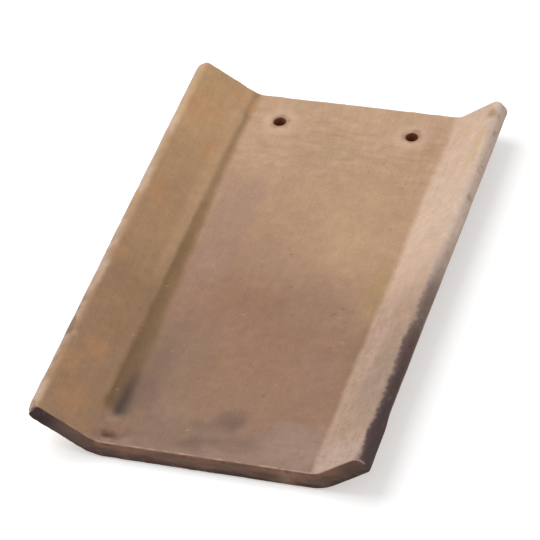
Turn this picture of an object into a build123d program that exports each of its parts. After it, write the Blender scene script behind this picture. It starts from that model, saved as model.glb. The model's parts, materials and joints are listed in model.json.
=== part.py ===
from build123d import *
from math import cos, radians, sin, tan
import os

# Roman pan roof tile: one piece of fired clay, pushed through a die and cut to
# length. The origin is under the middle of its overall sizes, level with its flat
# underside. X runs across the tile, Y from the nose (lower, exposed end) to the head
# (upper, nailed end) and Z up.

# Overall sizes
tile_length = 406.0
tile_width = 267.0
tile_height = 45.0
clay_thickness = 16.0

# Flanges flared up along both sides. The right one is shorter along its slant.
flange_angle = radians(35.5)
right_flange_shorter = 12.0
fold_radius_inside = 16.0
rim_radius_inside = 7.0
rim_radius_outside = 3.0

# Arris left by the cutting wire at both ends
end_edge_radius = 2.0

# Nail holes near the head
nail_hole_diameter = 9.5
nail_hole_spacing = 112.0
nail_hole_setback = 31.0
nail_holes_middle = 2.5

# What the shorter flange leaves off the overall width. It puts the middle of the floor
# to the right of the origin. The x values below are distances from there.
narrowing = right_flange_shorter * cos(flange_angle)
floor_middle = narrowing / 2

# The rim edge is square to the flange. Without their rounding its two corners would
# stand outside the overall sizes by this share of their radius.
rounding_loss = cos(flange_angle) + sin(flange_angle) - 1
rim_outer_x = (tile_width + narrowing) / 2 + rim_radius_outside * rounding_loss
rim_inner_x = rim_outer_x - clay_thickness * sin(flange_angle)
rim_inner_z = tile_height + rim_radius_inside * rounding_loss
rim_outer_z = rim_inner_z - clay_thickness * cos(flange_angle)

# Where the flange faces meet the floor faces, before the folds are rounded
fold_inner_x = rim_inner_x - (rim_inner_z - clay_thickness) / tan(flange_angle)
fold_outer_x = fold_inner_x + clay_thickness * tan(flange_angle / 2)
fold_radius_outside = fold_radius_inside + clay_thickness

# Section of the die: each half is drawn from the middle of the floor
with BuildSketch(Plane.XZ) as section:
    with BuildLine():
        for side, shorter in ((-1, 0), (1, right_flange_shorter)):
            inward = shorter * cos(flange_angle)
            down = shorter * sin(flange_angle)
            FilletPolyline(
                (floor_middle, 0),
                (floor_middle + side * fold_outer_x, 0),
                (floor_middle + side * (rim_outer_x - inward), rim_outer_z - down),
                (floor_middle + side * (rim_inner_x - inward), rim_inner_z - down),
                (floor_middle + side * fold_inner_x, clay_thickness),
                (floor_middle, clay_thickness),
                radius=[
                    fold_radius_outside,
                    rim_radius_outside,
                    rim_radius_inside,
                    fold_radius_inside,
                ],
            )
    make_face()

with BuildPart() as tile:
    extrude(section.sketch, amount=tile_length / 2, both=True)
    end_faces = tile.faces().sort_by(Axis.Y)
    fillet(end_faces[0].edges() + end_faces[-1].edges(), end_edge_radius)
    nail_hole_y = tile_length / 2 - nail_hole_setback
    with Locations((nail_holes_middle, nail_hole_y, clay_thickness)):
        with GridLocations(nail_hole_spacing, 0, 2, 1):
            Hole(nail_hole_diameter / 2)

os.makedirs("parts", exist_ok=True)
export_step(tile.part, "parts/pan_tile.step")
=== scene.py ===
import json
from math import cos, pi, radians, sin, tan

import bmesh
import bpy
import numpy as np
from mathutils import Matrix, Vector


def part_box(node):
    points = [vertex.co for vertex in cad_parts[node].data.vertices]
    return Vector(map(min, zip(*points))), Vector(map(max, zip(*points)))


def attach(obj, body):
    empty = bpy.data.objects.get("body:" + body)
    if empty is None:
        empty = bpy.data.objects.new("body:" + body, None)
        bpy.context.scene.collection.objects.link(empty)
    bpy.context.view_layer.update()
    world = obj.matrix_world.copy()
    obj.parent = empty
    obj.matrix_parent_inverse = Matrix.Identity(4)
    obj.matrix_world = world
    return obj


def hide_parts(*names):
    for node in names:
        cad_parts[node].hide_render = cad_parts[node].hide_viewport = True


# Roman pan roof tile of fired clay. The tile is one dense mesh, built from the same
# section as its node and then worn, chipped and cut as in the photograph. Lengths in
# this script are millimetres until a mesh, light or camera is made. A place in the clay
# is s, along its middle line from the middle of the floor to a rim (left is minus), y,
# from the nose (minus) to the head, and through, 1 on top and -1 underneath.

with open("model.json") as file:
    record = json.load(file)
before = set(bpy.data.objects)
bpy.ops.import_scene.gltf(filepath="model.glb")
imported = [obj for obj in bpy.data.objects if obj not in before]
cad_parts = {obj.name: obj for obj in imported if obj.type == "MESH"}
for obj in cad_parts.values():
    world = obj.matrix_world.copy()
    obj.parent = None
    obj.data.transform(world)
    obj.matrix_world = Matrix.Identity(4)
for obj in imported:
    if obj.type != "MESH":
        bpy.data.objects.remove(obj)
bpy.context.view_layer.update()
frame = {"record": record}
MM = 0.001
rng = np.random.default_rng(7)

# Sizes of the tile
low, high = (np.array(corner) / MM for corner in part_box("pan_tile"))
tile_width, tile_length, tile_height = high - low
half_length = tile_length / 2
nail_holes = [mount for mount in frame["record"]["mounts"] if mount["kind"] == "bore"]
hole_centres = [np.array(hole["pos_m"][:2]) / MM for hole in nail_holes]
hole_radius = nail_holes[0]["dims"]["r_mm"]
clay_thickness = nail_holes[0]["dims"]["length_mm"]
flange_angle = radians(35.5)
right_flange_shorter = 12.0
fold_radius_inside = 16.0
rim_radius_inside = 7.0
rim_radius_outside = 3.0
end_edge_radius = 2.0

# The middle line of the clay: half the floor, the fold and the flange's slant
half_clay = clay_thickness / 2
narrowing = right_flange_shorter * cos(flange_angle)
floor_middle = narrowing / 2
rounding_loss = cos(flange_angle) + sin(flange_angle) - 1
rim_outer_x = (tile_width + narrowing) / 2 + rim_radius_outside * rounding_loss
rim_middle_x = rim_outer_x - half_clay * sin(flange_angle)
rim_middle_z = tile_height + rim_radius_inside * rounding_loss - half_clay * cos(flange_angle)
fold_radius = fold_radius_inside + half_clay
fold_tangent = fold_radius * tan(flange_angle / 2)
slant_from_corner = (rim_middle_z - half_clay) / sin(flange_angle)
floor_run = rim_middle_x - slant_from_corner * cos(flange_angle) - fold_tangent
fold_run = fold_radius * flange_angle
left_run = floor_run + fold_run + slant_from_corner - fold_tangent
right_run = left_run - right_flange_shorter

# Wear of the outline: how far the outer corner of the rims is rubbed down, where the
# right one stays sharp, and the rounded tips (side, end) with their radius
WORN_RIM_RADIUS = 7.0
SHARP_FROM_NOSE = 38.0
SHARP_FADE = 26.0
TIP_RADIUS = {(-1, -1): 5.0, (1, -1): 1.0, (-1, 1): 5.0, (1, 1): 3.0}


def smooth_step(value, start, end):
    """0 up to start and 1 from end on, with a smooth rise between them."""
    t = np.clip((value - start) / (end - start), 0, 1)
    return t * t * (3 - 2 * t)


def between(value, start, full, fade, end):
    """1 from full to fade, falling to 0 at start and end."""
    return smooth_step(value, start, full) * (1 - smooth_step(value, fade, end))


def hump(value, width):
    """1 where the value is 0, fading to nothing over about this width on both sides."""
    return np.exp(-((value / width) ** 2))


def run_of(side):
    """Length of the middle line from the floor's middle to the rim on this side."""
    return np.where(side < 0, left_run, right_run)


def middle_line(s):
    """Point and upward normal of the clay's middle line, s along it from the middle."""
    side, d = np.sign(s), np.abs(s)
    turn = np.clip(d - floor_run, 0, fold_run) / fold_radius
    slant = np.maximum(d - floor_run - fold_run, 0)
    x = np.minimum(d, floor_run) + fold_radius * np.sin(turn) + slant * np.cos(turn)
    z = half_clay + fold_radius * (1 - np.cos(turn)) + slant * np.sin(turn)
    return floor_middle + side * x, z, -side * np.sin(turn), np.cos(turn)


def corner_drop(distance, radius):
    """How far a rounded corner of this radius has dropped, this far from its end."""
    inside = np.clip(radius - distance, 0, radius)
    return radius - np.sqrt(np.maximum(radius**2 - inside**2, 0))


def round_tip(s, y, run):
    """Bring the square tips of the flanges onto rounded ones, seen along the clay."""
    for (side, end), radius in TIP_RADIUS.items():
        u = np.maximum(s * side - (run - radius), 0)
        v = np.maximum(y * end - (half_length - radius), 0)
        reach = np.hypot(u, v)
        share = np.where(reach > 0, np.maximum(u, v) / np.maximum(reach, 1e-9), 1)
        here = (s * side > 0) & (y * end > 0)
        s = np.where(here, s - side * u * (1 - share), s)
        y = np.where(here, y - end * v * (1 - share), y)
    return s, y


def tile_points(across, along, through):
    """Points of the plain tile: each argument runs from -1 to 1 over the whole clay."""
    across, along, through = np.broadcast_arrays(across, along, through)
    run = run_of(across)
    y = along * half_length
    inset = corner_drop(half_length - np.abs(y), end_edge_radius)
    s = across * (run - inset)
    from_rim = run - inset - np.abs(s)
    sharp_right = 1 - smooth_step(y + half_length - SHARP_FROM_NOSE, 0, SHARP_FADE)
    sharp = (across > 0) * sharp_right
    outer_radius = WORN_RIM_RADIUS + (rim_radius_outside - WORN_RIM_RADIUS) * sharp
    upper = half_clay - inset - corner_drop(from_rim, rim_radius_inside - inset)
    lower = half_clay - inset - corner_drop(from_rim, outer_radius - inset)
    s, y = round_tip(s, y, run)
    x, z, normal_x, normal_z = middle_line(s)
    offset = np.where(through > 0, through * upper, through * lower)
    return np.stack([x + offset * normal_x, y, z + offset * normal_z], axis=-1)


def fine_steps(radius, length, flat):
    """Many places from -1 to 1, closest together over the rounded ends."""
    share = radius / length * (1 - np.cos(np.linspace(0, pi / 2, ROUND_STEPS)))
    middle = np.linspace(-flat, flat, FLAT_STEPS)
    return np.concatenate([-1 + share, middle, 1 - share[::-1]])


def crowding(extra, distance, reach):
    """Weight that draws points together near an edge, up to this distance or so."""
    return extra * np.exp(-distance / reach)


def evenly(fine, points, weight, count):
    """Values of fine, count steps apart, spaced evenly by the weighted distance."""
    steps = np.linalg.norm(np.diff(points, axis=0), axis=1)
    steps = steps * (weight[1:] + weight[:-1]) / 2
    run = np.concatenate([[0], np.cumsum(steps)])
    return np.interp(np.linspace(0, run[-1], count + 1), run, fine)


# Columns run across the tile and rows along it, closer together near the edges. They
# are chosen from many more places: so many on each rounded end and between the two.
COLUMNS, ROWS, WALL_ROWS = 256, 264, 9
ROUND_STEPS, FLAT_STEPS = 40, 900
fine_across = fine_steps(rim_radius_inside, right_run, flat=0.94)
fine_along = fine_steps(end_edge_radius, half_length, flat=0.98)
to_rim = (1 - np.abs(fine_across)) * right_run
to_nose = (1 + fine_along) * half_length
to_head = (1 - fine_along) * half_length
across_weight = 1 + crowding(0.7, to_rim, 14)
along_weight = 1 + crowding(1.6, to_nose, 12) + crowding(0.8, to_head, 10)
columns = evenly(fine_across, tile_points(fine_across, 0, 1), across_weight, COLUMNS)
rows = evenly(fine_along, tile_points(0.9, fine_along, 1), along_weight, ROWS)


class Shell:
    """Points and faces of a closed surface, with the place of each point in the clay."""

    def __init__(self):
        self.points, self.places, self.faces, self.count = [], [], [], 0

    def add(self, points, places):
        points = np.asarray(points, float).reshape(-1, 3)
        index = np.arange(self.count, self.count + len(points))
        self.points.append(points)
        self.places.append(np.asarray(places, float).reshape(-1, 3))
        self.count += len(points)
        return index

    def add_clay(self, across, along, through):
        places = np.stack(np.broadcast_arrays(across, along, through), axis=-1)
        index = self.add(tile_points(across, along, through), places)
        return index.reshape(places.shape[:-1])

    def strip(self, first, second):
        """Faces between two closed lines of points. The second may have half as many."""
        count = len(first)
        following = np.roll(first, -1)
        if len(second) == count:
            after = np.roll(second, -1)
            self.faces += [(first[i], following[i], after[i], second[i]) for i in range(count)]
            return
        for i in range(0, count, 2):
            near, far = second[i // 2], second[(i // 2 + 1) % len(second)]
            a, b, c = first[i], first[i + 1], first[(i + 2) % count]
            self.faces += [(a, b, near), (b, c, far), (b, far, near)]

    def grid(self, index, skip):
        """Quads over a grid of points, apart from the square patches in skip."""
        keep = np.ones((index.shape[0] - 1, index.shape[1] - 1), bool)
        for i0, i1, j0, j1 in skip:
            keep[i0:i1, j0:j1] = False
        for i, j in zip(*np.nonzero(keep)):
            self.faces.append((index[i, j], index[i + 1, j], index[i + 1, j + 1], index[i, j + 1]))

    def compact(self):
        """Points, places and faces without the points that no face uses."""
        points, places = np.concatenate(self.points), np.concatenate(self.places)
        used = np.zeros(len(points), bool)
        for face in self.faces:
            used[list(face)] = True
        number = np.cumsum(used) - 1
        faces = [tuple(int(number[v]) for v in face) for face in self.faces]
        return points[used], places[used], faces


def border(grid):
    """The grid's outer points in order, once round."""
    return np.concatenate([grid[:-1, 0], grid[-1, :-1], grid[:0:-1, -1], grid[0, :0:-1]])


shell = Shell()
grid_across, grid_along = np.meshgrid(columns, rows, indexing="ij")
upper_grid = shell.add_clay(grid_across, grid_along, 1.0)
lower_grid = shell.add_clay(grid_across[::2, ::2], grid_along[::2, ::2], -1.0)

# The rims and the cut ends: rows of points from the upper border down to the lower
edge_across, edge_along = border(grid_across), border(grid_along)
line = border(upper_grid)
for k in range(1, WALL_ROWS):
    below = shell.add_clay(edge_across, edge_along, 1 - 2 * k / WALL_ROWS)
    shell.strip(line, below)
    line = below
shell.strip(line, border(lower_grid))

# Nail holes: each takes the place of a square patch of the upper and lower grids. The
# rings between a patch's border and the hole's mouth lie at these shares of the way.
HOLE_PATCH = 11.0
MOUTH_RADIUS = 1.4
MOUTH_RINGS, BORE_RINGS = 5, 7
UPPER_RINGS = (0.25, 0.5, 0.72, 0.88)
LOWER_RINGS = (0.85, 0.6, 0.3)
upper_skips, lower_skips = [], []
points_now = np.concatenate(shell.points)
column_x = points_now[upper_grid[:, ROWS // 2], 0]
row_y = points_now[upper_grid[COLUMNS // 2, :], 1]


def even_index(line, value):
    return 2 * round(np.searchsorted(line, value) / 2)


def nail_hole(centre):
    """Build one hole, with rounded mouths above and below, and note its two patches."""
    i0, i1 = (even_index(column_x, centre[0] + d) for d in (-HOLE_PATCH, HOLE_PATCH))
    j0, j1 = (even_index(row_y, centre[1] + d) for d in (-HOLE_PATCH, HOLE_PATCH))
    upper_skips.append((i0, i1, j0, j1))
    lower_skips.append((i0 // 2, i1 // 2, j0 // 2, j1 // 2))
    line = border(upper_grid[i0 : i1 + 1, j0 : j1 + 1])
    around = points_now[line, :2] - centre
    reach = np.linalg.norm(around, axis=1)
    direction = around / reach[:, None]
    mouth = hole_radius + MOUTH_RADIUS
    top, deep = clay_thickness - MOUTH_RADIUS, MOUTH_RADIUS
    turns = np.linspace(0, pi / 2, MOUTH_RINGS)
    profile = [(None, share, clay_thickness) for share in UPPER_RINGS]
    profile += [(mouth - MOUTH_RADIUS * sin(t), 0, top + MOUTH_RADIUS * cos(t)) for t in turns]
    profile += [(hole_radius, 0, z) for z in np.linspace(top, deep, BORE_RINGS)[1:-1]]
    profile += [(mouth - MOUTH_RADIUS * cos(t), 0, deep - MOUTH_RADIUS * sin(t)) for t in turns]
    profile += [(None, share, 0.0) for share in LOWER_RINGS]
    for ring_radius, share, z in profile:
        if ring_radius:
            ring = np.full(len(reach), ring_radius)
        else:
            ring = share * mouth + (1 - share) * reach
        xy = centre + direction * ring[:, None]
        from_middle = xy[:, 0] - floor_middle
        level = np.full(len(xy), z)
        across = from_middle / run_of(from_middle)
        places = np.column_stack([across, xy[:, 1] / half_length, level / half_clay - 1])
        below = shell.add(np.column_stack([xy, level]), places)
        shell.strip(line, below)
        line = below
    shell.strip(line, border(lower_grid[i0 // 2 : i1 // 2 + 1, j0 // 2 : j1 // 2 + 1]))


for hole_centre in hole_centres:
    nail_hole(hole_centre)
shell.grid(upper_grid, upper_skips)
shell.grid(lower_grid, lower_skips)

# The mesh, with its faces turned outward
points, places, faces = shell.compact()
mesh = bpy.data.meshes.new("pan_tile_clay")
mesh.from_pydata((points * MM).tolist(), [], faces)
shape = bmesh.new()
shape.from_mesh(mesh)
bmesh.ops.recalc_face_normals(shape, faces=shape.faces)
shape.to_mesh(mesh)
shape.free()
mesh.shade_smooth()
tile = bpy.data.objects.new("pan_tile_clay", mesh)
bpy.context.scene.collection.objects.link(tile)


class Noise:
    """Smooth seeded noise of three coordinates, from about -1 to 1."""

    SIZE = 64
    OFFSET = 17.3
    GAIN = 1.6

    def __init__(self, seed):
        draw = np.random.default_rng(seed)
        self.gradients = draw.normal(size=(self.SIZE, self.SIZE, self.SIZE, 3))
        self.gradients /= np.linalg.norm(self.gradients, axis=-1, keepdims=True)

    def __call__(self, p, scale):
        q = np.asarray(p) / scale + self.OFFSET
        cell = np.floor(q).astype(int)
        f = q - cell
        smooth = f**3 * (f * (f * 6 - 15) + 10)
        total = 0.0
        for corner in np.ndindex(2, 2, 2):
            at = (cell + corner) % self.SIZE
            gradient = self.gradients[at[:, 0], at[:, 1], at[:, 2]]
            share = np.where(np.array(corner) == 1, smooth, 1 - smooth).prod(axis=1)
            total = total + share * (gradient * (f - corner)).sum(axis=1)
        return total * self.GAIN


# Noise, and where each point of the unworn tile lies and faces
noise_a, noise_b, noise_c = Noise(11), Noise(23), Noise(31)
normals = np.zeros(len(points) * 3)
mesh.vertices.foreach_get("normal", normals)
normals = normals.reshape(-1, 3)
plain_points = points.copy()
s = places[:, 0] * run_of(places[:, 0])
y = places[:, 1] * half_length
through = places[:, 2]
from_rim = run_of(s) - np.abs(s)
from_nose = half_length + y
upper_side = smooth_step(through, -0.4, 0.6)
facing_head = smooth_step(normals[:, 1], 0.35, 0.8)
facing_nose = smooth_step(-normals[:, 1], 0.35, 0.8)
end_faces = np.maximum(facing_nose, facing_head)

# Relief: everything is taken off the clay, never added, so the tile keeps its sizes.
# Each noise is multiplied by its depth and called with the size of its bumps.
EVEN_WEAR = 0.22
undulation = (
    0.22 * noise_a(plain_points * [1, 0.6, 1], 70)
    + 0.12 * noise_b(plain_points, 26)
    + 0.07 * noise_c(plain_points, 9)
)
drag_place = np.column_stack([s * 3.0, y * 0.12, through * 3])
drag = 0.07 * noise_a(drag_place, 9) + 0.05 * noise_c(drag_place, 4)
cut = 0.30 * noise_b(plain_points * [0.4, 1, 1.2], 5) + 0.2 * noise_c(plain_points, 2.5)
rim_wear = hump(from_rim, 6) * (0.1 + 0.4 * noise_c(plain_points * [1, 0.5, 1], 14))
taken = EVEN_WEAR + undulation + drag * (1 - end_faces) + cut * end_faces + np.maximum(rim_wear, 0)
points = points - normals * np.maximum(taken, 0)[:, None]

# Chips: how far from a ball's middle points are looked at, in radii, and the most that
# is carved off a point, in depths. For each point, broken says from 0 to 1 how far it
# lies in a broken place.
CHIP_REACH = 1.3
CHIP_LIMIT = 2.6
broken = np.zeros(len(points))


def chip(s0, y0, level, radius, depth):
    """Carve a rough hollow where a ball cuts into the clay at this place."""
    edge = tile_points(s0 / run_of(s0), y0 / half_length, level)
    nearest = np.argmin(((plain_points - edge) ** 2).sum(axis=1))
    ball = points[nearest] + normals[nearest] * (radius - depth)
    near = np.nonzero(((points - ball) ** 2).sum(axis=1) < (radius * CHIP_REACH) ** 2)[0]
    uneven = 0.10 * noise_c(plain_points[near], 2.2) + 0.12 * noise_b(plain_points[near], 5.5)
    rough = radius * (1 + uneven)
    d = points[near] - ball
    inward = (d * normals[near]).sum(axis=1)
    root = inward**2 - (d**2).sum(axis=1) + rough**2
    carve = np.where((d**2).sum(axis=1) < rough**2, inward + np.sqrt(np.maximum(root, 0)), 0)
    carve = np.clip(carve, 0, CHIP_LIMIT * depth)
    points[near] -= normals[near] * carve[:, None]
    broken[near] = np.maximum(broken[near], smooth_step(carve, 0.05, 0.5))


# Chips seen in the photograph: s, y, through, radius of the ball and depth
CHIPS = (
    (-144, -95, 0.8, 9, 1.8),
    (-141, -121, 1.0, 7, 1.3),
    (-144, -58, 0.9, 8, 1.4),
    (-144, -18, 0.9, 7, 1.2),
    (-144.5, -200, 0.2, 11, 3.0),
    (65, -202.5, 1.0, 5, 1.2),
    (58, -202.5, 1.0, 4, 0.9),
    (-77, -202.5, 1.0, 8, 1.5),
)
for chip_values in CHIPS:
    chip(*chip_values)

# Small chips along the left rim, the right rim, the nose and the head: the s or y that
# the edge keeps, the levels they are drawn from, and how many there are
EDGES = (
    (-left_run, None, (0.9, -0.9), 46),
    (right_run, None, (0.9, -0.9), 40),
    (None, -half_length, (1.0, 1.0, -1.0), 34),
    (None, half_length, (1.0, -1.0), 14),
)
CHIP_SIZES = (1.6, 4.5)
CHIP_DEPTHS = (0.10, 0.20)
for edge_s, edge_y, levels, chip_count in EDGES:
    for _ in range(chip_count):
        at_s = rng.uniform(-left_run, right_run) if edge_s is None else edge_s
        at_y = rng.uniform(-half_length, half_length) if edge_y is None else edge_y
        size = rng.uniform(*CHIP_SIZES)
        chip(at_s, at_y, rng.choice(levels), size, size * rng.uniform(*CHIP_DEPTHS))

# Small pits over the upper face, then those seen below each nail hole and right of the
# middle
PIT_COUNT = 70
PIT_SIZES = (1.2, 2.2)
PIT_DEPTHS = (0.25, 0.4)
SEEN_PITS = (
    ((-56, 160), (-50, 158), (-60, 163))
    + ((48, 156), (56, 158), (62, 161))
    + ((51, -39), (61, -45), (56, -42))
)
pits = []
for _ in range(PIT_COUNT):
    pits.append((rng.uniform(-left_run, right_run), rng.uniform(-half_length, half_length)))
pits.extend(SEEN_PITS)
for pit_s, pit_y in pits:
    size = rng.uniform(*PIT_SIZES)
    chip(pit_s, pit_y, 1.0, size, size * rng.uniform(*PIT_DEPTHS))

mesh.vertices.foreach_set("co", (points * MM).ravel())
mesh.update()

# Tones of the fired clay, and of the light and shade painted on it, each from 0 to 255 as it looks
# on a screen
TONES = {
    # Floor
    "brown": (158, 124, 101),
    "tan": (185, 151, 122),
    "pale tan": (195, 161, 132),
    "grey brown": (156, 129, 112),
    "pink brown": (168, 135, 117),
    "cream tan": (196, 164, 138),
    "golden tan": (192, 158, 125),
    "dull brown": (155, 119, 95),
    "soft brown": (160, 128, 106),
    "warm brown": (160, 123, 98),
    "cool brown": (148, 119, 101),
    "shaded brown": (140, 113, 96),
    "middle brown": (162, 128, 107),
    "plum": (138, 108, 104),
    "pale mauve": (168, 141, 126),
    "straw": (176, 146, 107),
    "pale straw": (178, 150, 112),
    "dull straw": (176, 146, 112),
    "wiped red": (170, 128, 102),
    "wiped cream": (206, 172, 146),
    "wiped brown": (150, 116, 96),
    "smoke": (112, 90, 79),
    "scorched": (132, 92, 74),
    "burnt": (88, 58, 47),
    "speck": (122, 95, 80),
    # Nail holes and chips
    "ring": (208, 176, 151),
    "ring stain": (150, 108, 80),
    "hole dirt": (142, 92, 62),
    "bare clay": (196, 158, 130),
    "blackened clay": (118, 86, 70),
    # Left flange and its fold
    "ochre": (182, 146, 111),
    "pale ochre": (200, 162, 122),
    "brown ochre": (166, 132, 103),
    # Painted highlight on the lower part of the left flange, beside the fold
    "painted highlight ochre": (204, 168, 132),
    "orange": (204, 148, 102),
    "olive": (168, 137, 100),
    "dark olive": (160, 128, 92),
    # Painted shade in the left fold, with its edge and black core
    "thin painted fold shade": (155, 123, 89),
    "painted_fold_shade": (134, 104, 74),
    "thick painted fold shade": (124, 97, 70),
    "black painted fold shade": (66, 53, 50),
    "painted fold shade edge": (128, 104, 88),
    "rust": (195, 145, 100),
    # Right flange
    # Right flange: pale cream, partly its own colour and partly painted light
    "pink cream with painted light": (213, 183, 160),
    "bright cream with painted light": (219, 190, 168),
    "grey cream": (184, 154, 133),
    "grey": (168, 143, 126),
    "nose cream": (194, 167, 152),
    "pink": (207, 172, 158),
    "grey speckle": (146, 124, 110),
    "tan speckle": (190, 158, 132),
    "yellow": (208, 178, 136),
    "pale yellow": (206, 176, 140),
    # Rims
    # Painted reflection on the outer side of the left rim, grey with pale patches
    "rim painted reflection grey": (150, 138, 134),
    "rim painted reflection pale": (196, 176, 164),
    "rim pale": (200, 178, 162),
    "rim rubbed": (218, 192, 172),
    "rim dirt": (120, 92, 74),
    "rim cream": (224, 200, 184),
    # Right rim's outer edge: kiln flashing together with painted shade
    "flash and shade edge": (139, 117, 107),
    "flash and shade brown": (104, 83, 76),
    "flash and shade black": (84, 68, 68),
    "rim rust": (176, 138, 104),
    # Cut ends
    "cut brown": (116, 90, 77),
    "cut red": (146, 107, 87),
    "cut black": (66, 47, 44),
    "cut shade": (58, 42, 40),
    "cut streak": (150, 116, 100),
    "cut pale": (176, 138, 118),
    "cut grey": (98, 80, 74),
    "left tip": (52, 38, 43),
    "right tip": (66, 54, 48),
    "head cut": (150, 122, 104),
    # Painted highlight along the upper edge of the nose
    "painted arris highlight": (198, 164, 146),
    # Underside
    "under": (172, 138, 112),
    "under brown": (150, 120, 100),
    "under bloom": (190, 158, 132),
}


def linear(tone):
    """The tone in linear light."""
    c = np.array(TONES[tone]) / 255
    return np.where(c <= 0.04045, c / 12.92, ((c + 0.055) / 1.055) ** 2.4)


# Painted colour of the clay, one for each point
colour = np.tile(linear("brown"), (len(points), 1))


def paint(tone, amount):
    """Lay a tone over the colour, from 0 (none) to 1 (covered) at each point."""
    amount = np.clip(amount, 0, 1)[:, None]
    colour[:] = colour * (1 - amount) + linear(tone) * amount


def spot(place, size, turn=0.0, ragged=0.35, grain=9.0):
    """A soft patch on the upper face: 1 in its middle, 0 outside, with an uneven edge."""
    ds, dy = s - place[0], y - place[1]
    a = radians(turn)
    u = (ds * cos(a) + dy * sin(a)) / size[0]
    v = (-ds * sin(a) + dy * cos(a)) / size[1]
    reach = np.sqrt(u * u + v * v) + ragged * noise_b(plain_points, grain)
    return (1 - smooth_step(reach, 0.25, 1.25)) * upper_side


def patch(tone, amount, place, size, mask=1.0, **edge):
    """Paint a soft patch: its place is (s, y), its size is (across, along)."""
    paint(tone, spot(place, size, **edge) * mask * amount)


def drawn_out(share, scale, noise=noise_c):
    """Noise drawn out across the tile: the smaller this share, the longer its marks."""
    return noise(plain_points * [share, 1, 1], scale)


def to_hole(centre, along=1.0):
    """Distance to a nail hole, with lengths along the tile changed by this factor."""
    return np.hypot(plain_points[:, 0] - centre[0], (plain_points[:, 1] - centre[1]) * along)


# Firing colours of the floor, lighter and pinker near the head
mottle = noise_a(plain_points, 34)
patchy = noise_b(plain_points, 16)
blush = noise_c(plain_points, 60)
paint("tan", smooth_step(y + 26 * blush + 0.25 * s, -60, 75))
paint("pale tan", smooth_step(y + 18 * patchy, 95, 165))
paint("grey brown", (1 - smooth_step(y + 20 * patchy, -200, -140)) * 0.8)
beside_fold = between(s + 5 * patchy, -84, -72, -52, -38)
paint("pink brown", beside_fold * between(y, -120, 0, 80, 130) * 0.6)
patch("cream tan", 0.6, (-56, 140), (26, 40))
patch("golden tan", 0.75, (46, 66), (52, 66))
patch("dull brown", 0.75, (-24, -42), (52, 36))
patch("soft brown", 0.5, (40, -38), (36, 24))
patch("warm brown", 0.55, (8, -92), (58, 34))
patch("cool brown", 0.65, (-50, -110), (30, 66))
patch("shaded brown", 0.7, (-40, -184), (40, 22))
patch("middle brown", 0.7, (56, -100), (24, 44))
patch("plum", 0.6, (-64, -142), (12, 22), ragged=0.2)
patch("pale mauve", 0.7, (62, -176), (30, 28))
patch("straw", 0.75, (75, -12), (9, 40), turn=-2, ragged=0.15)
patch("pale straw", 0.5, (74, 150), (9, 18), ragged=0.2)
patch("dull straw", 0.4, (-10, 150), (34, 20))

# Reddish marks left by wiping across the head
wiped = drawn_out(0.22, 4.5) + 0.5 * patchy
paint("wiped red", smooth_step(wiped, 0.1, 0.6) * between(y, 96, 140, 176, 196) * 0.32)
paint("wiped cream", smooth_step(-wiped, 0.2, 0.7) * between(y, 90, 140, 180, 200) * 0.35)
paint("wiped brown", smooth_step(wiped, 0.25, 0.7) * (1 - smooth_step(y, -60, 40)) * 0.3)

# Smoke stains near the nose, a burnt spot at the left fold, and specks
STAINS = (
    (0.50, (4, -168), (24, 15)),
    (0.40, (12, -166), (13, 9)),
    (0.50, (-8, -187), (17, 9)),
    (0.35, (10, -186), (20, 9)),
    (0.25, (28, -178), (16, 12)),
)
SPECKS = (((51, -39), 3.2), ((61, -45), 3.0), ((56, -31), 2.2), ((24, -133), 2.4), ((-2, 20), 1.8))
for amount, place, size in STAINS:
    patch("smoke", amount, place, size, turn=25, ragged=0.5, grain=13.0)
patch("scorched", 0.6, (-80, -190), (18, 9), ragged=0.6)
patch("burnt", 0.9, (-79, -193), (8, 4.0), turn=-8, ragged=0.6, grain=5.0)
for place, size in SPECKS:
    patch("speck", 0.55, place, (size, size * 0.7), grain=3.0)

# Pale rings round the nail holes, stained at the mouth
for hole_centre in hole_centres:
    away = to_hole(hole_centre, along=0.9) + 2.5 * noise_c(plain_points, 6)
    paint("ring", (1 - smooth_step(away, 8, 19)) * upper_side * 0.75)
    paint("ring stain", (1 - smooth_step(away, 5.5, 9.5)) * upper_side * 0.6)

# Left flange: ochre, browner towards the nose, with orange blotches
fold_end = floor_run + fold_run
left_flange = smooth_step(-s + 1.2 * patchy, fold_end - 2, fold_end + 3)
paint("ochre", left_flange)
paint("pale ochre", left_flange * smooth_step(y + 20 * mottle, 60, 150) * 0.8)
paint("brown ochre", left_flange * (1 - smooth_step(y + 20 * mottle, -60, 20)) * 0.9)
# Painted highlight along the lower part of the left flange, beside the fold, towards the head
low_on_flange = left_flange * (1 - smooth_step(-s, 100, 112))
paint("painted highlight ochre", low_on_flange * smooth_step(y, -60, 60) * 0.6)
BLOTCHES = (
    ((-124, 160), (18, 24)),
    ((-104, 185), (10, 12)),
    ((-131, 48), (10, 20)),
    ((-136, -27), (7, 14)),
    ((-122, -122), (13, 16)),
    ((-134, -148), (9, 16)),
    ((-122, -174), (14, 18)),
    ((-108, 120), (9, 20)),
)
for place, size in BLOTCHES:
    patch("orange", 0.32, place, size, mask=left_flange, ragged=0.55, grain=15.0)
patch("olive", 0.5, (-119, -62), (16, 18))
patch("dark olive", 0.45, (-112, -92), (14, 22))

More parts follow.
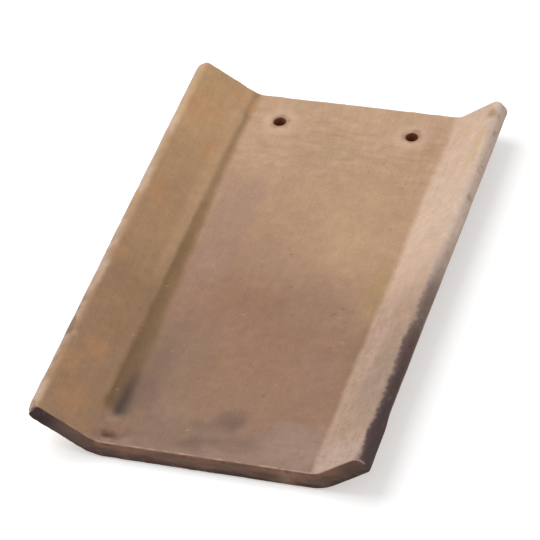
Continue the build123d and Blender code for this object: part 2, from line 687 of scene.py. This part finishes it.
# Painted shade in the left fold, wider and darker towards the nose, with a black core
FOLD_SHADE_CORE = -78.5
FOLD_SHADE_EDGE = -66
fold_shade_left = -fold_end + 1.5 - 2.0 * smooth_step(-y, -170, 170)
fold_shade_right = -85.5 + 9.5 * smooth_step(-y, -150, 160)
painted_fold_shade = smooth_step(s + 1.5 * patchy, fold_shade_left - 3.5, fold_shade_left + 4)
painted_fold_shade = painted_fold_shade * (1 - smooth_step(s + 2.0 * patchy, fold_shade_right - 5, fold_shade_right + 5))
painted_fold_shade = painted_fold_shade * smooth_step(from_nose, 30, 42) * upper_side
paint("thin painted fold shade", painted_fold_shade * 0.9)
paint("painted_fold_shade", painted_fold_shade * smooth_step(-y, -110, 10) * 0.85)
paint("thick painted fold shade", painted_fold_shade * smooth_step(-y, 20, 130) * 0.85)
core = hump(s - FOLD_SHADE_CORE + 1.5 * patchy, 7) * between(y, -178, -168, -156, -108)
paint("black painted fold shade", core * upper_side * 0.97)
fold_shade_edge = hump(s - FOLD_SHADE_EDGE, 12) * between(y, -182, -160, -120, -40)
paint("painted fold shade edge", fold_shade_edge * upper_side * 0.55)
patch("rust", 0.6, (-88, 186), (5, 14), ragged=0.2)

# Right flange: pale pink cream, partly its own colour and partly painted light where it faces the
# lamp, greyer towards the nose, yellow near its head
right_flange = smooth_step(s + 1.5 * patchy, floor_run - 1, floor_run + 11)
paint("pink cream with painted light", right_flange)
paint("bright cream with painted light", right_flange * between(y, 20, 70, 100, 140) * 0.7)
paint("grey cream", right_flange * (1 - smooth_step(y + 22 * blush, -45, 35)))
patch("grey", 0.9, (120, -112), (20, 60), mask=right_flange)
paint("nose cream", right_flange * (1 - smooth_step(y + 8 * patchy, -192, -160)) * 0.9)
patch("pink", 0.5, (100, -60), (9, 60), mask=right_flange)
speckled = smooth_step(noise_c(plain_points, 3.2) + 0.6 * patchy, 0.1, 0.6)
paint("grey speckle", right_flange * speckled * (1 - smooth_step(y, -70, 0)) * 0.35)
paint("tan speckle", right_flange * speckled * smooth_step(y, -20, 60) * 0.3)
patch("yellow", 0.7, (130, 150), (8, 26))
patch("pale yellow", 0.4, (104, 178), (12, 16))

# Left rim: rubbed pale, with a painted reflection, grey with pale patches, on its outer side, and
# dirt in one place
rim = hump(from_rim, 3.2)
left_rim = np.where(s < 0, rim, 0)
paint("rim painted reflection grey", left_rim * smooth_step(-through, -0.98, -0.5))
pale_patches = smooth_step(-through, -0.95, -0.4) * smooth_step(noise_b(plain_points, 12), -0.5, 0.5)
paint("rim painted reflection pale", left_rim * pale_patches * 0.5)
paint("rim pale", left_rim * smooth_step(noise_c(plain_points, 6) + 0.5 * mottle, -0.8, 0.8) * 0.6)
RUBBED_S, RUBBED_WIDTH = -142.5, 3.4
RUBBED = ((124, 20), (54, 18), (-18, 9), (-54, 18), (-188, 14))
for rubbed_y, rubbed_length in RUBBED:
    patch("rim rubbed", 0.34, (RUBBED_S, rubbed_y), (RUBBED_WIDTH, rubbed_length), ragged=0.6)
dirt = between(y + 6 * patchy, -128, -118, -88, -76) * smooth_step(patchy, -0.3, 0.2)
paint("rim dirt", left_rim * dirt * 0.7)

# Right rim: pale near the head, darker and darker from its middle to the nose, partly flashed by
# the kiln and partly painted shade on its outer edge
ragged_edge = 1.3 * noise_c(plain_points, 3.4) + 1.6 * patchy + 1.2 * mottle
ragged_rim = np.maximum(from_rim + ragged_edge, 0)
right_rim = np.where(s > 0, np.exp(-((ragged_rim / 3.0) ** 3)), 0)
paint("rim cream", right_rim * 0.8)
paint("flash and shade edge", right_rim * smooth_step(-y + 14 * patchy, -45, 30))
paint("flash and shade brown", right_rim * smooth_step(-y + 14 * mottle, 30, 85))
paint("flash and shade black", right_rim * smooth_step(-y + 20 * patchy, 70, 150) * 0.9)
patch("rim rust", 0.8, (129, 187), (4, 7), ragged=0.2)

# Nose end: cut and burnt, redder above and darker below, blackened towards both tips
burn = smooth_step(-normals[:, 1], 0.45, 0.85)
reddish = smooth_step(through + 0.5 * drawn_out(0.25, 8, noise_b), 0.0, 0.8)
shaded = smooth_step(-through + 0.35 * drawn_out(0.3, 7), 0.2, 0.9)
blackened = smooth_step(noise_a(plain_points * [0.3, 1, 1.5], 10), -0.1, 0.5)
paint("cut brown", burn)
paint("cut red", burn * reddish * 0.75)
paint("cut black", burn * blackened * 0.4)
paint("cut shade", burn * shaded * 0.7)
paint("cut streak", burn * smooth_step(drawn_out(0.35, 3.5), 0.1, 0.6) * 0.35)
paint("cut pale", burn * hump(s - 64, 7) * 0.5)
paint("cut grey", burn * smooth_step(-s + 5 * patchy, 84, 98) * 0.5)
paint("left tip", burn * smooth_step(-s + 5 * patchy, 108, 136) * 0.85)
paint("right tip", burn * smooth_step(s + 4 * patchy, 98, 124) * 0.5)

# Head end, plain, and a painted highlight along the upper edge of the nose
paint("head cut", facing_head * 0.7)
nose_arris_highlight = between(-normals[:, 1], 0.05, 0.22, 0.45, 0.68) * upper_side
nose_arris_highlight = nose_arris_highlight * smooth_step(normals[:, 2], 0.3, 0.6)
paint("painted arris highlight", nose_arris_highlight * (0.5 + 0.9 * noise_c(plain_points, 8)))

# Underside: plain, with a soft bloom
under = (1 - upper_side) * (1 - end_faces) * (1 - rim)
paint("under", under)
paint("under brown", under * smooth_step(blush + 0.4 * patchy, 0.0, 0.6) * 0.6)
paint("under bloom", under * smooth_step(-blush + 0.3 * mottle, 0.1, 0.7) * 0.5)

# Dirt in the nail holes, and bare clay in the chips, blackened where the kiln flashed the nose and
# the right rim, and in the right rim's painted shade
for hole_centre in hole_centres:
    in_hole = 1 - smooth_step(to_hole(hole_centre), hole_radius + 0.1, hole_radius + 0.75)
    paint("hole dirt", in_hole * 0.97)
dark_parts = np.maximum(burn, right_rim * smooth_step(-y, 20, 75))
paint("bare clay", broken * (1 - dark_parts) * 0.45)
paint("blackened clay", broken * dark_parts * 0.5)
unevenness = 0.05 * noise_c(plain_points, 7) + 0.04 * mottle
colour = np.clip(colour * (1 + unevenness)[:, None], 0, 1)

# The mesh carries the colour, painted light and shade included, and where it is broken as the
# alpha
attribute = mesh.attributes.new("fired", "FLOAT_COLOR", "POINT")
painted = np.column_stack([colour, broken]).astype(np.float32)
attribute.data.foreach_set("color", painted.ravel())


class Graph:
    """A material's or world's nodes, added one at a time with their inputs."""

    def __init__(self, tree):
        self.tree = tree
        self.tree.nodes.clear()

    def add(self, kind, settings=None, **inputs):
        """Add a node. An input is named, with _ for a space, or numbered: i0, i1."""
        node = self.tree.nodes.new(kind)
        for name, value in (settings or {}).items():
            setattr(node, name, value)
        for name, value in inputs.items():
            key = int(name[1:]) if name[1:].isdigit() else name.replace("_", " ")
            if isinstance(value, bpy.types.NodeSocket):
                self.tree.links.new(value, node.inputs[key])
            else:
                node.inputs[key].default_value = value
        return node

    def maths(self, operation, *values):
        inputs = {f"i{n}": value for n, value in enumerate(values)}
        return self.add("ShaderNodeMath", {"operation": operation}, **inputs).outputs[0]

    def ranged(self, value, low, high, start, end):
        """The value brought from the range low to high onto start to end, and kept there."""
        ends = {"From_Min": low, "From_Max": high, "To_Min": start, "To_Max": end}
        return self.add("ShaderNodeMapRange", Value=value, **ends).outputs[0]


def clay_material():
    """Dry fired clay in the painted colour, with grain, specks and fine bump."""
    material = bpy.data.materials.new("fired_clay")
    material.use_nodes = True
    g = Graph(material.node_tree)
    place = g.add("ShaderNodeTexCoord").outputs["Object"]
    fired = g.add("ShaderNodeAttribute", {"attribute_name": "fired"})
    chips = fired.outputs["Alpha"]

    def noise(scale, detail=3.0, vector=place):
        inputs = {"Vector": vector, "Scale": scale, "Detail": detail, "Roughness": 0.6}
        return g.add("ShaderNodeTexNoise", **inputs).outputs[0]

    # Mottling, sandy grain and streaks along the tile make the colour uneven
    cloud, grain = noise(95, 4.0), noise(850)
    stretched = g.add("ShaderNodeMapping", Vector=place, Scale=(1.0, 0.07, 1.0)).outputs[0]
    streak = noise(420, 3.0, stretched)
    cloud_shade = g.ranged(cloud, 0.3, 0.7, 0.93, 1.07)
    grain_shade = g.ranged(grain, 0.3, 0.7, 0.92, 1.08)
    shade = g.maths("MULTIPLY", cloud_shade, grain_shade)
    shade = g.maths("MULTIPLY", shade, g.ranged(streak, 0.3, 0.7, 0.975, 1.025))

    # A few of the cells hold a dark or a pale speck
    cells = g.add("ShaderNodeTexVoronoi", Vector=place, Scale=330.0)
    chosen = g.add("ShaderNodeSeparateColor", Color=cells.outputs["Color"])
    speck = g.ranged(cells.outputs["Distance"], 0.16, 0.30, 1.0, 0.0)
    dark = g.maths("MULTIPLY", speck, g.ranged(chosen.outputs[0], 0.90, 0.92, 0.0, 0.22))
    pale = g.maths("MULTIPLY", speck, g.ranged(chosen.outputs[1], 0.92, 0.94, 0.0, 0.12))
    specks = g.maths("SUBTRACT", g.maths("ADD", pale, 1.0), dark)
    shade = g.maths("MULTIPLY", shade, specks)
    scale = {"operation": "SCALE"}
    tinted = g.add("ShaderNodeVectorMath", scale, i0=fired.outputs["Color"], Scale=shade)

    # Matt, and a little smoother in places
    roughness = g.ranged(cloud, 0.3, 0.7, 0.78, 0.95)

    # Bump for what is finer than the mesh: sand, pores and the broken face of chips
    fine = noise(2300, 2.0)
    height = g.maths("ADD", g.maths("MULTIPLY", grain, 0.55), g.maths("MULTIPLY", fine, 0.25))
    height = g.maths("SUBTRACT", height, g.maths("MULTIPLY", speck, 0.2))
    broken_face = g.maths("MULTIPLY", noise(600, 4.0), chips)
    height = g.maths("ADD", height, g.maths("MULTIPLY", broken_face, 1.5))
    height = g.maths("ADD", height, g.maths("MULTIPLY", streak, 0.5))
    bump = g.add("ShaderNodeBump", Strength=0.6, Distance=0.00035, Height=height)
    shader = g.add(
        "ShaderNodeBsdfPrincipled",
        Base_Color=tinted.outputs[0],
        Roughness=roughness,
        Normal=bump.outputs[0],
        Specular_IOR_Level=0.3,
    )
    g.add("ShaderNodeOutputMaterial", Surface=shader.outputs[0])
    return material


tile.data.materials.append(clay_material())
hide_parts("pan_tile")
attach(tile, "root")

# Floor: half its width, and a hair's breadth that keeps it clear of the tile's underside,
# in metres, as all lengths are from here on. It glows a little for the camera alone, so
# that only the tile's shadow tints it.
FLOOR_HALF = 6.0
FLOOR_DROP = 0.0004
FLOOR_GLOW = 0.45


def seen_directly(graph):
    """1 for what the camera sees itself or by way of a gloss or a clear thing."""
    path = graph.add("ShaderNodeLightPath").outputs
    either = graph.maths("MAXIMUM", path["Is Camera Ray"], path["Is Glossy Ray"])
    return graph.maths("MAXIMUM", either, path["Is Transmission Ray"])


def floor_material():
    """Matt white with a glow."""
    material = bpy.data.materials.new("floor_white")
    material.use_nodes = True
    g = Graph(material.node_tree)
    matt = g.add("ShaderNodeBsdfDiffuse", Color=(0.8, 0.8, 0.8, 1))
    strength = g.maths("MULTIPLY", seen_directly(g), FLOOR_GLOW)
    glow = g.add("ShaderNodeEmission", Strength=strength)
    both = g.add("ShaderNodeAddShader", i0=matt.outputs[0], i1=glow.outputs[0])
    g.add("ShaderNodeOutputMaterial", Surface=both.outputs[0])
    return material


sides = ((-1, -1), (1, -1), (1, 1), (-1, 1))
corners = [(side_x * FLOOR_HALF, side_y * FLOOR_HALF, -FLOOR_DROP) for side_x, side_y in sides]
floor_mesh = bpy.data.meshes.new("floor")
floor_mesh.from_pydata(corners, [], [(0, 1, 2, 3)])
floor = bpy.data.objects.new("floor", floor_mesh)
floor.data.materials.append(floor_material())
bpy.context.scene.collection.objects.link(floor)

# World: an even pale room, white where the camera looks past the floor
AMBIENT = 0.46
world = bpy.data.worlds.new("studio")
bpy.context.scene.world = world
world.use_nodes = True
world_graph = Graph(world.node_tree)
level = world_graph.ranged(seen_directly(world_graph), 0.0, 1.0, AMBIENT, 1.0)
sky = world_graph.add("ShaderNodeBackground", Color=(1, 1, 1, 1), Strength=level)
world_graph.add("ShaderNodeOutputWorld", Surface=sky.outputs[0])

# Lamp: one large square softbox, turned to the tile
LAMP_TOWARDS = Vector((-0.42, 0.10, 0.90)).normalized()
LAMP_DISTANCE = 2.5
LAMP_SIZE = 2.0
LAMP_POWER = 39
lamp_data = bpy.data.lights.new("key", "AREA")
lamp_data.shape = "SQUARE"
lamp_data.size = LAMP_SIZE
lamp_data.energy = LAMP_POWER
lamp = bpy.data.objects.new("key", lamp_data)
lamp.location = LAMP_TOWARDS * LAMP_DISTANCE
lamp.rotation_euler = LAMP_TOWARDS.to_track_quat("Z", "Y").to_euler()
bpy.context.scene.collection.objects.link(lamp)

# Camera at the photograph's viewing angle. It starts looking straight down, is rolled,
# is tilted up and then turned about the vertical to its heading. Angles are in degrees.
CAMERA_PLACE = Vector((0.74642, -1.73916, 1.74741))
CAMERA_HEADING = 23.443
CAMERA_TILT = 47.593
CAMERA_ROLL = -8.778
CAMERA_LENS = 220.643
SENSOR_WIDTH = 36.0

camera_data = bpy.data.cameras.new("camera")
camera_data.sensor_width = SENSOR_WIDTH
camera_data.sensor_fit = "HORIZONTAL"
camera_data.lens = CAMERA_LENS
camera_data.clip_end = 50
camera = bpy.data.objects.new("camera", camera_data)
heading = Matrix.Rotation(radians(CAMERA_HEADING), 4, "Z")
tilt = Matrix.Rotation(radians(CAMERA_TILT), 4, "X")
roll = Matrix.Rotation(radians(CAMERA_ROLL), 4, "Z")
camera.matrix_world = Matrix.Translation(CAMERA_PLACE) @ heading @ tilt @ roll
bpy.context.scene.collection.objects.link(camera)
bpy.context.scene.camera = camera

bpy.context.scene.view_settings.view_transform = "Standard"

bpy.context.view_layer.update()
